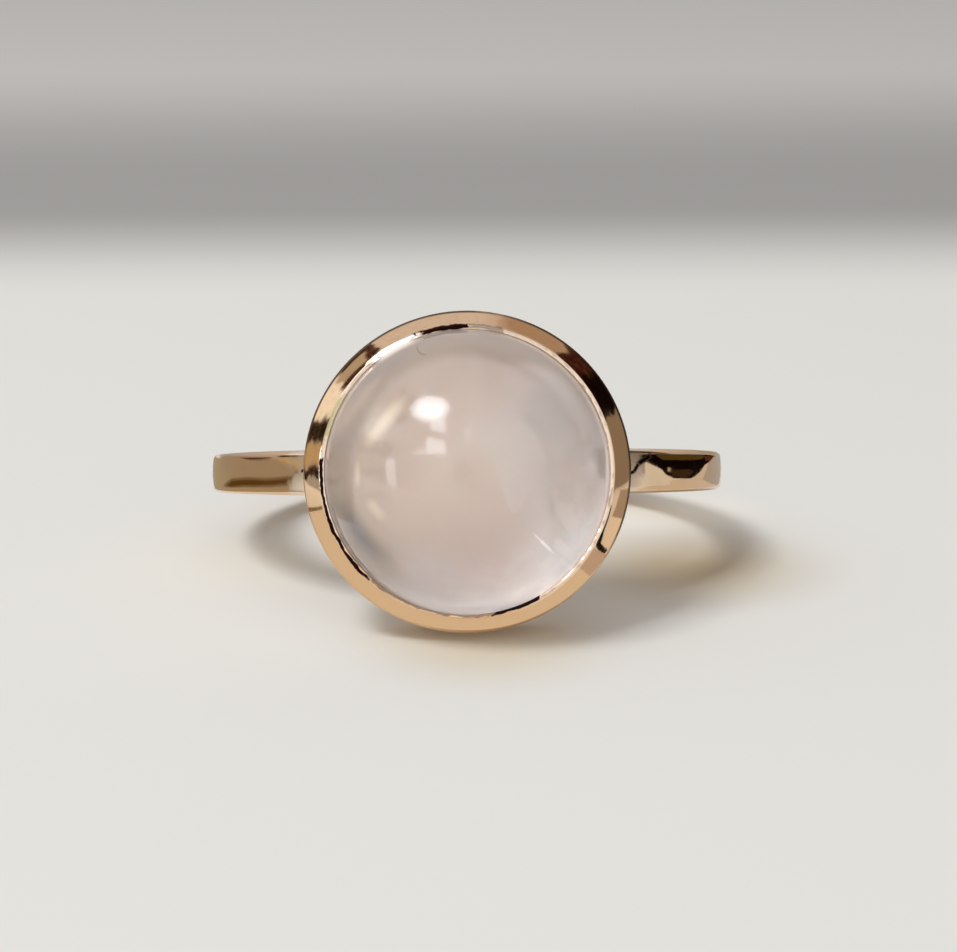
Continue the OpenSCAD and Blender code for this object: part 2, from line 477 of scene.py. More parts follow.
def make_bezel(sizes, stone):
    """The bezel, upright: back, wall, wide bevel, crest, bright bevel and the hollow for the stone."""
    middle = dome_middle(stone)
    hollow = hollow_radius(stone)
    bore = stone.radius + stone.gap
    lip_low = lip_base(sizes, stone)
    crest = lip_low + sizes.lip_height
    shoulder = crest - sizes.rim_fall
    rim_top = (sizes.crest_radius, crest)
    rim_low = (sizes.wall_radius, shoulder)
    corners = [
        (0, sizes.plate_low, 0),
        (sizes.base_radius, sizes.plate_low, sizes.base_edge),
        (*rim_low, sizes.rim_edge),
        *bulged(rim_low, rim_top, sizes.rim_bulge)[1:],
        (*rim_top, sizes.crest_edge),
        (sizes.lip_radius + LIP_LEAN, crest - sizes.bright_fall, sizes.lip_edge),
        (sizes.lip_radius, lip_low, 0),
    ]
    steps = 10
    start = math.asin(sizes.lip_radius / hollow)
    end = math.asin(bore / hollow)
    for step in range(1, steps + 1):
        angle = start + (end - start) * step / steps
        corners.append((hollow * math.sin(angle), middle + hollow * math.cos(angle), 0))
    corners += [(bore, sizes.seat, 0), (0, sizes.seat, 0)]

    def handmade(point, angle):
        """Moves a point for the rim's oval shape and for the burnisher's marks on the lip."""
        radius, height = point
        outer = (radius - sizes.lip_radius) / (sizes.wall_radius - sizes.lip_radius)
        outer = LIP_OVAL + (1 - LIP_OVAL) * min(1, max(0, outer))
        wave = -sizes.oval / 2 * math.cos(2 * angle) * outer
        if lip_low < height and radius < sizes.crest_radius:
            inward = (sizes.crest_radius - radius) / (sizes.crest_radius - sizes.lip_radius)
            spot = Vector((math.sin(angle), math.cos(angle), 0))
            burr = math.exp(-(((math.degrees(angle) - BURR_MIDDLE) / BURR_HALF) ** 4))
            deep = LEAST_MARKS + max(0, math.cos(angle - DEEPEST_MARKS))
            marks = soft_noise.noise(spot * SHORT_MARKS) * deep * (1 - burr)
            marks += soft_noise.noise(spot * LONG_WAVES)
            height += inward * (2 * sizes.burnish * marks + sizes.pressed * burr)
        return radius + wave * min(1, radius / bore), height

    return spin("bezel_step", soft_outline(corners), sizes.around, handmade)


# The solder's root, hidden in the bezel and the band, and the point that its sections shrink to, in mm
# across and up
SOLDER_ROOT = [(4.6, 7.6), (4.5, 8.75)]
SOLDER_HEART = (4.6, 8.35)

# How much further out the bezel's wall is where the solder meets it than at its base
WALL_LEAN = 0.03 * MM

# Lumps in the solder: depth, waves along it and how far they are shifted on each side, and the highest
LUMPS = [(0.05, 5, 1), (0.03, 11, 2)]
HIGHEST_LUMP = 1.04


def make_solder(side, band, sizes):
    """The solder between the bezel's wall and the band on one side, upright, as a closed mesh."""
    band_face = band.finger_radius + band.thickness - band.crown
    curve = sizes.solder_curve
    middle_x = sizes.base_radius + WALL_LEAN + curve
    middle_z = math.sqrt((band_face + curve) ** 2 - middle_x**2)
    foot = math.atan2(middle_x, middle_z)
    heart = Vector(SOLDER_HEART) * MM
    arc_steps, rows = 16, 28
    section = []
    for step in range(arc_steps + 1):
        angle = math.pi + (math.pi / 2 - foot) * step / arc_steps
        section.append(Vector((middle_x + curve * math.cos(angle), middle_z + curve * math.sin(angle))))
    section += [Vector(corner) * MM for corner in SOLDER_ROOT]
    shape = bmesh.new()
    rings = []
    for row in range(1, rows):
        across = -math.cos(math.pi * row / rows)
        full = (1 - across**4) ** 0.5
        lump = 1 + sum(depth * math.sin(waves * across + shift * side) for depth, waves, shift in LUMPS)
        y = across * sizes.solder_width / 2
        ring = []
        for point in section:
            spot = heart + (point - heart) * full * min(lump, HIGHEST_LUMP)
            ring.append(shape.verts.new((side * spot.x, y, spot.y)))
        rings.append(ring)
    count = len(section)
    for low, high in zip(rings, rings[1:]):
        for index in range(count):
            following = (index + 1) % count
            shape.faces.new((low[index], low[following], high[following], high[index]))
    for ring in (rings[0], rings[-1]):
        shape.faces.new(ring)
    bmesh.ops.recalc_face_normals(shape, faces=shape.faces)
    mesh = bpy.data.meshes.new("solder_step")
    shape.to_mesh(mesh)
    shape.free()
    return mesh


# The radius of the softened edges of the stone's bevel
BEVEL_EDGE = 0.05 * MM


def make_cabochon(sizes):
    """The cabochon, upright: flat base, bevel, girdle and dome."""
    middle = dome_middle(sizes)
    corners = [
        (0, sizes.base, 0),
        (sizes.radius - sizes.bevel, sizes.base, BEVEL_EDGE),
        (sizes.radius, sizes.base + sizes.bevel, BEVEL_EDGE),
    ]
    steps = 90
    edge = math.asin(sizes.radius / sizes.dome_radius)
    for step in range(steps + 1):
        angle = edge * (1 - step / steps)
        radius = sizes.dome_radius * math.sin(angle)
        corners.append((radius, middle + sizes.dome_radius * math.cos(angle), 0))
    return spin("cabochon_step", soft_outline(corners), sizes.around)


def new_material(name):
    """A new material, its tree and the sockets of its shader."""
    material = bpy.data.materials.new(name)
    material.use_nodes = True
    tree = material.node_tree
    tree.nodes.clear()
    shader = place(tree, "ShaderNodeBsdfPrincipled")
    place(tree, "ShaderNodeOutputMaterial", {"Surface": shader.outputs[0]})
    return material, tree, shader.inputs


def drawn_place(tree):
    """Object coordinates turned back to the upright drawing, in millimetres."""
    sockets = {
        "Vector": place(tree, "ShaderNodeTexCoord").outputs["Object"],
        "Location": HOLE_MIDDLE,
        "Rotation": tuple(LAID_TURN),
        "Scale": (MM, MM, MM),
    }
    return place(tree, "ShaderNodeMapping", sockets, vector_type="TEXTURE").outputs[0]


def span(tree, value, middle, half, soft):
    """A mask that is 1 within a span of values, with soft ends."""
    off = calc(tree, "ABSOLUTE", calc(tree, "SUBTRACT", value, middle))
    return ramp(tree, off, half + soft / 2, half - soft / 2)


def sector(tree, clock, middle, half, soft):
    """A mask that is 1 within a span of clock angles, right round the circle."""
    off = calc(tree, "WRAP", calc(tree, "SUBTRACT", clock, middle), 180.0, -180.0)
    return span(tree, off, 0.0, half, soft)


def either(tree, masks):
    """The greatest of several masks."""
    result = masks[0]
    for mask in masks[1:]:
        result = calc(tree, "MAXIMUM", result, mask)
    return result


def both(tree, *masks):
    """The product of several masks."""
    result = masks[0]
    for mask in masks[1:]:
        result = calc(tree, "MULTIPLY", result, mask)
    return result


def round_the_head(tree, spot):
    """Distance from the head's axis in mm, the clock angle round it in degrees either way, and height."""
    flat, apart = seen_from_above(tree, spot)
    clock = calc(tree, "DEGREES", calc(tree, "ARCTAN2", apart["X"], apart["Y"]))
    return measure(tree, "LENGTH", flat), clock, apart["Z"]


def noise(tree, spot, scale, detail=2.0, roughness=0.5):
    """A noise value round a half."""
    sockets = {"Vector": spot, "Scale": scale, "Detail": detail, "Roughness": roughness}
    return place(tree, "ShaderNodeTexNoise", sockets).outputs[0]


def patches(tree, spot, scale, low, high, detail=2.0, least=0.0):
    """A mask of soft patches, from noise between two values, and the least that it falls to."""
    return ramp(tree, noise(tree, spot, scale, detail), low, high, out_low=least)


def strayed(tree, value, spot, amount, scale, detail=2.0):
    """A value that noise moves either way, by half the amount at most."""
    torn = calc(tree, "SUBTRACT", noise(tree, spot, scale, detail), 0.5)
    return calc(tree, "MULTIPLY_ADD", torn, amount, value)


def stretches(tree, clock, rows):
    """The greatest of several stretches of clock angle, each with its strength."""
    return either(tree, [both(tree, sector(tree, clock, *row[:3]), row[3]) for row in rows])


def needle(tree, spot, start, end, half, soft=1.0):
    """A mask along a short line seen from above the stone."""
    run_x, run_y = end[0] - start[0], end[1] - start[1]
    run = math.hypot(run_x, run_y)
    off = vector_sum(tree, "SUBTRACT", spot, (*start, 0.0))
    along = measure(tree, "DOT_PRODUCT", off, (run_x / run, run_y / run, 0.0))
    beside = measure(tree, "DOT_PRODUCT", off, (run_y / run, -run_x / run, 0.0))
    length_mask = span(tree, along, run / 2, run / 2, soft * run / 3)
    return both(tree, length_mask, span(tree, beside, 0, half, soft * half))


def needles(tree, spot, rows, soft=1.0):
    """The greatest of several needles, each with its strength."""
    lines = [both(tree, needle(tree, spot, *row[:3], soft), row[3]) for row in rows]
    return either(tree, lines)


def arc_line(tree, spot, middle, radius, half):
    """A mask along a thin circle seen from above the stone."""
    flat, _apart = seen_from_above(tree, spot)
    return span(tree, measure(tree, "DISTANCE", flat, (*middle, 0.0)), radius, half, half)


# Noise scales of the polish, over mm: its waves, its rubbed patches, and its scratches along each axis
# of the drawing. The scratches run round the band.
WAVE_SCALE = 0.8
RUBBED_SCALE = 1.7
SCRATCH_SCALES = (9.0, 60.0, 9.0)

# How deep a scratch is, where the waves are 1 high, and the most that a rubbed patch is dulled
SCRATCH_DEPTH = 0.06
RUBBED_SHARE = 0.6


def wavy_polish():
    """Group: the height of the waves and scratches that polishing leaves, and where wear dulls it."""
    tree = bpy.data.node_groups.new("wavy_polish", "ShaderNodeTree")
    face = tree.interface
    face.new_socket(name="Vector", in_out="INPUT", socket_type="NodeSocketVector")
    for name, value in (("Wave size", 1.0), ("Scratches", 0.2)):
        socket = face.new_socket(name=name, in_out="INPUT", socket_type="NodeSocketFloat")
        socket.default_value = value
    for name in ("Height", "Dulled"):
        face.new_socket(name=name, in_out="OUTPUT", socket_type="NodeSocketFloat")
    given = tree.nodes.new("NodeGroupInput").outputs
    finer = calc(tree, "DIVIDE", WAVE_SCALE, given["Wave size"])
    waves = noise(tree, given["Vector"], finer, roughness=0.45)
    stretched = place(tree, "ShaderNodeMapping", {"Vector": given["Vector"], "Scale": SCRATCH_SCALES})
    lines = patches(tree, stretched.outputs[0], scale=1.0, low=0.62, high=0.72, detail=3.0)
    lines = both(tree, lines, given["Scratches"])
    height = calc(tree, "SUBTRACT", waves, both(tree, lines, SCRATCH_DEPTH))
    rubbed = patches(tree, given["Vector"], scale=RUBBED_SCALE, low=0.45, high=0.75, detail=4.0)
    dulled = calc(tree, "MAXIMUM", both(tree, rubbed, RUBBED_SHARE), lines)
    place(tree, "NodeGroupOutput", {"Height": height, "Dulled": dulled})
    return tree


# Painted shade and dark reflections in the crevice inside the rim: clock angle and half width, in degrees,
# strength, and where they start and end on the way out, in mm, before noise moves them in
CREVICE_SHADE = [
    (-9, 10.5, 1, 4.945, 5.1),
    (8, 6, 0.5, 4.94, 5.1),
    (160, 10, 1, 4.88, 5.03),
    (-110, 27, 1, 4.97, 5.075),
    (-165, 27, 0.6, 4.89, 4.99),
]

# Painted shade in the creases of the solder beside the bezel: start and end across the ring and along the
# finger, half width, strength
CREASE_SHADES = [
    ((5.7, -0.08), (5.86, -0.02), 0.06, 1),
    ((5.84, -0.04), (6.02, 0.26), 0.06, 1),
    ((5.98, 0.24), (6.5, 0.56), 0.09, 1),
    ((-5.82, 0.03), (-5.74, 0.11), 0.04, 1),
]

# Stretches of the rim by clock angle: middle, half width and softness, in degrees, and for the painted dark
# reflection along the outer edge its strength too. A little of that painted dark edge is all round.
DARK_EDGE_STRETCHES = [(66, 52, 20, 0.75), (-35, 45, 20, 0.75)]
LEAST_DARK_EDGE = 0.1
# Where the painted sheen inside the rim is left off, and where its painted glint lies
NO_SHEEN = (-160, 40, 20)
GLINTING = (-29, 9, 5)
# Where the painted olive reflection lies on the bevel inside the rim
PAINTED_OLIVE = (-68, 9, 6)

# Where the painted dark edge, the painted sheen and shade inside the rim and the cup's unpolished finish
# fade, from none to all, as radii, as heights above the middle of the hole and as depths below the lip, in
# mm
DARK_EDGE_RADII = (5.42, 5.47)
DARK_EDGE_BELOW = (0.6, 0.5)
SHEEN_RADII = (5.02, 4.99)
RIM_BELOW = (0.02, 0.0)
CUP_RADII = (5.06, 5.04)
CUP_HEIGHTS = (9.0, 9.05)
CUP_BELOW = (0.05, 0.07)

# Where the solder fades, from none to all, in mm across the ring, along the finger and up, and how far
# out it runs, where noise of up to 1 mm is added
SOLDER_ACROSS = (4.6, 5.2)
SOLDER_ALONG = (1.3, 0.8)
SOLDER_FOOT = (6.6, 7.0)
SOLDER_TOP = (9.0, 8.8)
SOLDER_RUN = (6.95, 6.4)

# Where the gold grows duller, from none to all, in mm across the ring
DULL_ACROSS = (1.0, -1.0)

# The painted shade's edges: how far noise moves them in at most and how soft they are inside and outside, in
# mm, and how soft the ends of its arcs are and how ragged the ends of all stretches, in degrees
CREVICE_SHADE_STRAYS = 0.2
CREVICE_SHADE_SOFT_INSIDE = 0.02
CREVICE_SHADE_SOFT_OUTSIDE = 0.03
CREVICE_SHADE_SOFT_ENDS = 1.5
RAGGED_ENDS = 14.0

# How much rougher the metal is where it is worn and where it is duller, the least roughness of the solder,
# the painted dark marks and the unpolished inside, and the depth of the waves in the polish
WORN_ROUGHER = 0.08
DULL_ROUGHER = 0.05
SOLDER_ROUGH = 0.25
PAINTED_DARK_ROUGH = 0.35
INSIDE_ROUGH = 0.5
WAVE_DEPTH = 0.006 * MM


def crevice_shade_mask(tree, spot, away, ragged):
    """Arcs of painted shade and dark reflection in the crevice round the stone, with ragged sides."""
    moved = calc(tree, "MULTIPLY_ADD", noise(tree, spot, scale=2.2, detail=4.0), CREVICE_SHADE_STRAYS, away)
    arcs = []
    for middle, half, strength, start, end in CREVICE_SHADE:
        inside = ramp(tree, moved, start, start + CREVICE_SHADE_SOFT_INSIDE)
        outside = ramp(tree, moved, end + CREVICE_SHADE_SOFT_OUTSIDE, end)
        arc = sector(tree, ragged, middle, half, CREVICE_SHADE_SOFT_ENDS)
        arcs.append(both(tree, arc, inside, outside, strength))
    return either(tree, arcs)


def dark_edge_mask(tree, away, clock, ragged, bezel):
    """The painted dark reflection along the rim's outer edge, which follows its oval shape."""
    wave = calc(tree, "COSINE", calc(tree, "MULTIPLY", clock, math.radians(2)))
    from_wall = calc(tree, "MULTIPLY_ADD", wave, bezel.oval / 2 / MM, away)
    worst = calc(tree, "ADD", stretches(tree, ragged, DARK_EDGE_STRETCHES), LEAST_DARK_EDGE)
    return both(tree, ramp(tree, from_wall, *DARK_EDGE_RADII), worst)


def solder_mask(tree, spot, sides, under):
    """The pale solder beside the bezel."""
    across = calc(tree, "ABSOLUTE", sides["X"])
    along = calc(tree, "ABSOLUTE", sides["Y"])
    run = calc(tree, "ADD", across, noise(tree, spot, scale=1.6))
    near = both(tree, ramp(tree, across, *SOLDER_ACROSS), ramp(tree, along, *SOLDER_ALONG))
    return both(tree, under, near, ramp(tree, run, *SOLDER_RUN))


def gold_material(look, polish, bezel, stone):
    """Polished rose gold and pale solder, with painted shade, dark reflections, sheen and glint on the rim.
    """
    material, tree, shader = new_material("rose_gold")
    spot = drawn_place(tree)
    away, clock, up = round_the_head(tree, spot)
    sides = place(tree, "ShaderNodeSeparateXYZ", {0: spot}).outputs
    ragged = strayed(tree, clock, spot, RAGGED_ENDS, scale=3.0, detail=3.0)
    below_lip = calc(tree, "SUBTRACT", lip_base(bezel, stone) / MM, up)
    rim = ramp(tree, below_lip, *RIM_BELOW)
    low = ramp(tree, up, *SOLDER_TOP)
    under = both(tree, low, ramp(tree, up, *SOLDER_FOOT))

    sockets = {"Vector": spot, "Wave size": 1.0, "Scratches": 0.3}
    worn = place(tree, "ShaderNodeGroup", sockets, node_tree=polish).outputs
    painted_dark = both(tree, crevice_shade_mask(tree, spot, away, ragged), rim)
    # Painted dark reflection along the rim's outer edge
    painted_reflection = dark_edge_mask(tree, away, clock, ragged, bezel)
    painted_reflection = both(tree, painted_reflection, ramp(tree, below_lip, *DARK_EDGE_BELOW))
    # Painted shade in the creases of the solder
    crease_shades = both(tree, needles(tree, spot, CREASE_SHADES), under)
    # Painted shade and dark reflections, all in one dark colour
    dark = either(tree, [painted_dark, crease_shades, painted_reflection])
    soldered = solder_mask(tree, spot, sides, under)
    worked = patches(tree, spot, scale=4.0, low=0.25, high=0.5, least=0.7)
    without_sheen = sector(tree, clock, *NO_SHEEN)
    burnished_sheen = both(tree, ramp(tree, away, *SHEEN_RADII), rim, worked)
    burnished_sheen = both(tree, burnished_sheen, calc(tree, "SUBTRACT", 1.0, without_sheen))
    glinting = both(tree, burnished_sheen, sector(tree, clock, *GLINTING))
    olive_reflection = both(tree, burnished_sheen, sector(tree, ragged, *PAINTED_OLIVE))
    inside = both(tree, ramp(tree, away, *CUP_RADII), ramp(tree, up, *CUP_HEIGHTS))
    inside = both(tree, inside, ramp(tree, below_lip, *CUP_BELOW))

    tint = cover(tree, opaque(look.metal), worn["Dulled"], look.worn, strength=0.12)
    # Painted sheen on the bevel inside the rim, and a painted glint where it faces the window
    tint = cover(tree, tint, burnished_sheen, look.bright, strength=0.85)
    tint = cover(tree, tint, glinting, look.glint)
    # Painted olive reflection
    tint = cover(tree, tint, olive_reflection, look.olive_reflection, strength=0.8)
    tint = cover(tree, tint, soldered, look.solder, strength=0.8)
    tint = cover(tree, tint, dark, look.painted_dark)
    tint = cover(tree, tint, inside, look.inside)

    rough = calc(tree, "MULTIPLY_ADD", worn["Dulled"], WORN_ROUGHER, look.roughness)
    duller = both(tree, low, ramp(tree, sides["X"], *DULL_ACROSS))
    rough = calc(tree, "MULTIPLY_ADD", duller, DULL_ROUGHER, rough)
    for mask, least in ((soldered, SOLDER_ROUGH), (dark, PAINTED_DARK_ROUGH), (inside, INSIDE_ROUGH)):
        rough = calc(tree, "MAXIMUM", rough, both(tree, mask, least))
    sockets = {"Height": worn["Height"], "Distance": WAVE_DEPTH, "Strength": 1.0}
    normal = place(tree, "ShaderNodeBump", sockets).outputs[0]
    join(tree, shader, {"Base Color": tint, "Metallic": 1.0, "Roughness": rough, "Normal": normal})
    return material


# Clouds in the stone, below and above its dusky ring, partly its own cloudiness and partly painted light and
# shade: the paler ones stand for the window's light that the dome gathers, most of all low on the right, and
# the dim one below the middle is painted shade. Each has a middle in mm in the upright drawing, reach,
# strength and colour
DEEP_CLOUDS_AND_PAINTED_LIGHT = [
    ((0.2, -0.4, 14.0), 4.6, 1.0, "warm"),
    ((2.4, 2.1, 13.0), 3.4, 0.9, "hazy"),
]
CLOUDS_AND_PAINTED_LIGHT = [
    ((2.9, -2.9, 12.6), 3.6, 1.0, "milky"),
    ((3.5, 0.9, 12.6), 2.2, 0.5, "milky"),
    ((0.2, -4.3, 12.0), 2.8, 0.8, "cool"),
    ((-1.7, -3.9, 12.2), 2.0, 0.6, "cool"),
    ((0.6, -2.5, 13.4), 2.8, 0.8, "dim"),
]
# A painted glow on the right of the stone: its middle in mm and its reach
RIGHT_GLOW = ((4.3, 0.3, 11.8), 0.9)

# How much flatter the clouds and painted light are than round, along the head, how far they drift in mm,
# and the noise scale of the drift
FLATTENED = 0.35
DRIFT = 1.6
DRIFT_SCALE = 0.45

# Streaks of a feather of fine cracks, painted white and given a painted glow as a highlight: start and end
# seen from above the stone, half width and strength
FEATHER_GLINTS = [
    ((2.2, -2.07), (2.9, -2.77), 0.03, 0.8),
    ((2.4, -2.27), (2.76, -2.63), 0.055, 1.0),
    ((2.85, -2.3), (3.75, -3.05), 0.22, 0.5),
    ((2.85, -2.25), (3.45, -2.85), 0.06, 0.5),
    ((2.85, -2.7), (3.4, -3.2), 0.06, 0.4),
]

# The painted reflection of the gold cup's wall, a pale arc on the left seen through the dome: its middle,
# its
# radius, half width and softness in mm, how far it wanders, how strong it is, and its stretches by clock
# angle:
# middle, half width and softness, in degrees, and strength
CUP_REFLECTION_MIDDLE = (-0.55, 0.0, 0.0)
CUP_REFLECTION_ARC = (2.85, 0.22, 0.7)
CUP_REFLECTION_WANDERS = 0.4
CUP_REFLECTION_STRENGTH = 0.7
CUP_REFLECTION_STRETCHES = [(-55, 14, 22, 1), (-95, 24, 20, 0.15)]

# Brighter streaks in the painted reflection of the cup's wall: start and end seen from above the stone, half
# width and strength
CUP_REFLECTION_STREAKS = [
    ((-3.25, 1.0), (-2.25, 2.25), 0.2, 0.88),
    ((-2.9, 1.6), (-2.05, 2.45), 0.12, 0.45),
    ((-3.63, 0.3), (-3.62, -0.45), 0.09, 0.42),
    ((-3.25, -0.95), (-2.8, -1.5), 0.15, 0.38),
]

# The paler fan, painted light right of the middle: its middle, its stretch by clock angle, and where it
# fades, in mm from its middle
FAN_MIDDLE = (1.5, -1.3, 0.0)
FAN_STRETCH = (10, 42, 20)
FAN_RADII = (3.6, 0.6)

# The hair near the top of the stone: the middle, radius and half width of its curl, and the line of the
# stretch that shows
HAIR_CURL = ((-1.38, 4.18), 0.27, 0.02)
HAIR_STRETCH = ((-1.85, 3.7), (-1.45, 4.0), 0.3)

# Stretches of the stone's edge by clock angle: middle, half width and softness, in degrees, and for the
# bright ones their strength too
LOW_RIGHT = (135, 45, 60)
TOP_RIGHT = (66, 34, 30)
LEFT = (-98, 12, 18)
LOW_LEFT = (-119, 15, 28)
HIGH_LEFT = (-52, 18, 30)
GATHERING = (146, 34, 90)
BRIGHT_EDGES = [(94, 22, 40, 0.47), (176, 30, 50, 0.62)]
LIP_GLINT = (-30, 8, 7)

# Where the looks of the stone's edge fade, from none to all, as radii in mm
DUSKY_RADII = (3.6, 4.15)
COOL_RADII = (4.55, 4.8)
GATHERED_RADII = (2.2, 4.9)
BRIGHT_RADII = (4.2, 4.75)
OUTERMOST_RADII = (4.6, 4.75)
GLINT_RADII = (4.6, 4.86)

# The dusky ring, painted shade towards the stone's edge: its strength, how much weaker it is on the left,
# and how much further out it begins at the top right, in mm
DUSKY = 0.87
DUSKY_LEFT = 0.34
DUSKY_SHIFT = 0.6

# The two shades along the edge: radius, half width and softness in mm, and how fast the radius of the
# low left one grows with the clock angle, in mm to a degree
SHADE_LOW = (6.1, 0.28, 0.75)
SHADE_HIGH = (4.45, 0.12, 0.6)
SHADE_SPIRAL = 0.016

# The faint light painted as a glow in the stone: its strength where the dome gathers it, at the outermost
# edge and in the glow on the right, and the share of it all that is then taken away
GATHERED_LIGHT = 0.8
OUTERMOST_LIGHT = 0.13
RIGHT_GLOW_LIGHT = 0.35
LIGHT_DIMMED = 0.5

QUARTZ_IOR = 1.544
FEATHER_GLINT_WHITE = (1.0, 0.98, 0.94)
HAIR_BROWN = (0.08, 0.04, 0.03)
GLINT_WHITE = (1.0, 0.97, 0.95)
BLACK = (0.0, 0.0, 0.0)


def cup_reflection_mask(tree, spot):
    """A painted reflection of the gold cup's wall on the left, in an arc of broken pale streaks."""
    from_reflection, clock, _up = round_the_head(tree, vector_sum(tree, "SUBTRACT", spot, CUP_REFLECTION_MIDDLE))
    bowed = strayed(tree, from_reflection, spot, CUP_REFLECTION_WANDERS, scale=0.9)
    broken = patches(tree, spot, scale=0.8, low=0.3, high=0.55, least=0.35)
    arc = both(tree, span(tree, bowed, *CUP_REFLECTION_ARC), stretches(tree, clock, CUP_REFLECTION_STRETCHES))
    arc = both(tree, arc, broken, CUP_REFLECTION_STRENGTH)
    return either(tree, [arc, needles(tree, spot, CUP_REFLECTION_STREAKS, soft=2.0)])


def fan_mask(tree, moved):
    """A paler fan of painted light right of the middle."""
    from_fan, clock, _up = round_the_head(tree, vector_sum(tree, "SUBTRACT", moved, FAN_MIDDLE))
    return both(tree, sector(tree, clock, *FAN_STRETCH), ramp(tree, from_fan, *FAN_RADII))


def quartz_light(tree, look, spot, away, clock, cup_reflection, feather_glint, right_glow):
    """The faint light in the stone, which its dome gathers on the side away from the window."""
    rays = patches(tree, spot, scale=1.1, low=0.3, high=0.75, detail=3.0, least=0.6)
    low_right = sector(tree, clock, *GATHERING)
    gathered = both(tree, ramp(tree, away, *GATHERED_RADII), low_right, rays, GATHERED_LIGHT)
    lit = cover(tree, opaque(BLACK), either(tree, [gathered, feather_glint]), look.gathered)
    # The painted reflection of the cup's wall glows as well
    lit = cover(tree, lit, cup_reflection, look.cup_reflection)
    edges = both(tree, stretches(tree, clock, BRIGHT_EDGES), ramp(tree, away, *BRIGHT_RADII))
    edges = calc(tree, "MULTIPLY_ADD", ramp(tree, away, *OUTERMOST_RADII), OUTERMOST_LIGHT, edges)
    edges = either(tree, [edges, both(tree, right_glow, RIGHT_GLOW_LIGHT)])
    lit = cover(tree, lit, edges, look.gathered)
    lit = cover(tree, lit, LIGHT_DIMMED, BLACK)
    glint = both(tree, ramp(tree, away, *GLINT_RADII), sector(tree, clock, *LIP_GLINT))
    return cover(tree, lit, glint, GLINT_WHITE)


def quartz_material(look):
    """Polished, cloudy rose quartz with a few fine inclusions, and painted light, shade and cup reflection.
    """
    material, tree, shader = new_material("rose_quartz")
    spot = drawn_place(tree)
    away, clock, _up = round_the_head(tree, spot)
    flat = vector_sum(tree, "MULTIPLY", spot, (1.0, 1.0, FLATTENED))
    sockets = {"Vector": spot, "Scale": DRIFT_SCALE, "Detail": 3.0}
    drift = place(tree, "ShaderNodeTexNoise", sockets).outputs["Color"]
    drift = vector_sum(tree, "SUBTRACT", drift, (0.5, 0.5, 0.5))
    drift = vector_sum(tree, "MULTIPLY", drift, (DRIFT, DRIFT, DRIFT))
    moved = vector_sum(tree, "ADD", flat, drift)

    def glow(middle, reach):
        """A soft round mask about a point of the stone."""
        flattened = (middle[0], middle[1], FLATTENED * middle[2])
        return ramp(tree, measure(tree, "DISTANCE", moved, flattened), reach, 0.0)

    # The colour paints most of the light and shade in the stone, over its own pink
    tint = opaque(look.clear)
    for middle, reach, strength, shade in DEEP_CLOUDS_AND_PAINTED_LIGHT:
        tint = cover(tree, tint, glow(middle, reach), getattr(look, shade), strength)
    # The dusky ring: painted shade towards the edge
    inner = calc(tree, "MULTIPLY_ADD", sector(tree, clock, *TOP_RIGHT), -DUSKY_SHIFT, away)
    clear_side = calc(tree, "SUBTRACT", 1.0, sector(tree, clock, *LOW_RIGHT))
    ring = both(tree, ramp(tree, inner, *DUSKY_RADII), clear_side)
    weaker = calc(tree, "MULTIPLY", sector(tree, clock, *LEFT), DUSKY_LEFT)
    ring = both(tree, ring, calc(tree, "SUBTRACT", DUSKY, weaker))
    tint = cover(tree, tint, ring, look.dusky)
    for middle, reach, strength, shade in CLOUDS_AND_PAINTED_LIGHT:
        tint = cover(tree, tint, glow(middle, reach), getattr(look, shade), strength)
    spiral = calc(tree, "MULTIPLY_ADD", clock, -SHADE_SPIRAL, away)
    low_left = both(tree, span(tree, spiral, *SHADE_LOW), sector(tree, clock, *LOW_LEFT))
    tint = cover(tree, tint, low_left, look.shade)
    tint = cover(tree, tint, ramp(tree, away, *COOL_RADII), look.cool, strength=0.3)
    high_left = both(tree, span(tree, away, *SHADE_HIGH), sector(tree, clock, *HIGH_LEFT))
    tint = cover(tree, tint, high_left, look.shade, strength=0.6)
    tint = cover(tree, tint, fan_mask(tree, moved), look.hazy, strength=0.5)
    # Painted reflection of the gold cup's wall, seen through the dome
    cup_reflection = cup_reflection_mask(tree, spot)
    tint = cover(tree, tint, cup_reflection, look.cup_reflection)
    # A feather of fine cracks, painted white as a highlight that also glows
    feather_glint = needles(tree, spot, FEATHER_GLINTS)
    tint = cover(tree, tint, feather_glint, FEATHER_GLINT_WHITE)
    hair = both(tree, arc_line(tree, spot, *HAIR_CURL), needle(tree, spot, *HAIR_STRETCH))
    tint = cover(tree, tint, hair, HAIR_BROWN, strength=0.5)

    right_glow = glow(*RIGHT_GLOW)
    lit = quartz_light(tree, look, spot, away, clock, cup_reflection, feather_glint, right_glow)
    sockets = {
        "Base Color": tint,
        "Roughness": look.roughness,
        "IOR": QUARTZ_IOR,
        "Transmission Weight": look.see_through,
        "Subsurface Weight": 1.0,
        "Subsurface Radius": (1.0, 0.85, 0.8),
        "Subsurface Scale": 1.2 * MM,
        "Coat Weight": 1.0,
        "Coat Roughness": 0.045,
        "Coat IOR": QUARTZ_IOR,
        "Emission Color": lit,
        "Emission Strength": 0.6,
    }
    join(tree, shader, sockets)
    return material


# Painted warm light and shadow that the gold throws on the floor: middle in metres, reach in millimetres,
# strength of the painted tint and of the painted glow
WARM_SPOTS = [
    ((0.0082, -0.0007), 6.6, 1, 0),
    ((0.0086, 0.0068), 4.5, 0, 0.8),
    ((-0.008, 0.0), 6, 0.12, 0.5),
    ((0.0005, -0.0098), 5.4, 0.75, 0.65),
]

# How far behind the ring the floor dims, and then grows paler again, and half its side, in metres
FLOOR_DIMS = (0.053, 0.088)
FLOOR_PALES = (0.1, 0.19)
FLOOR_HALF = 1.2


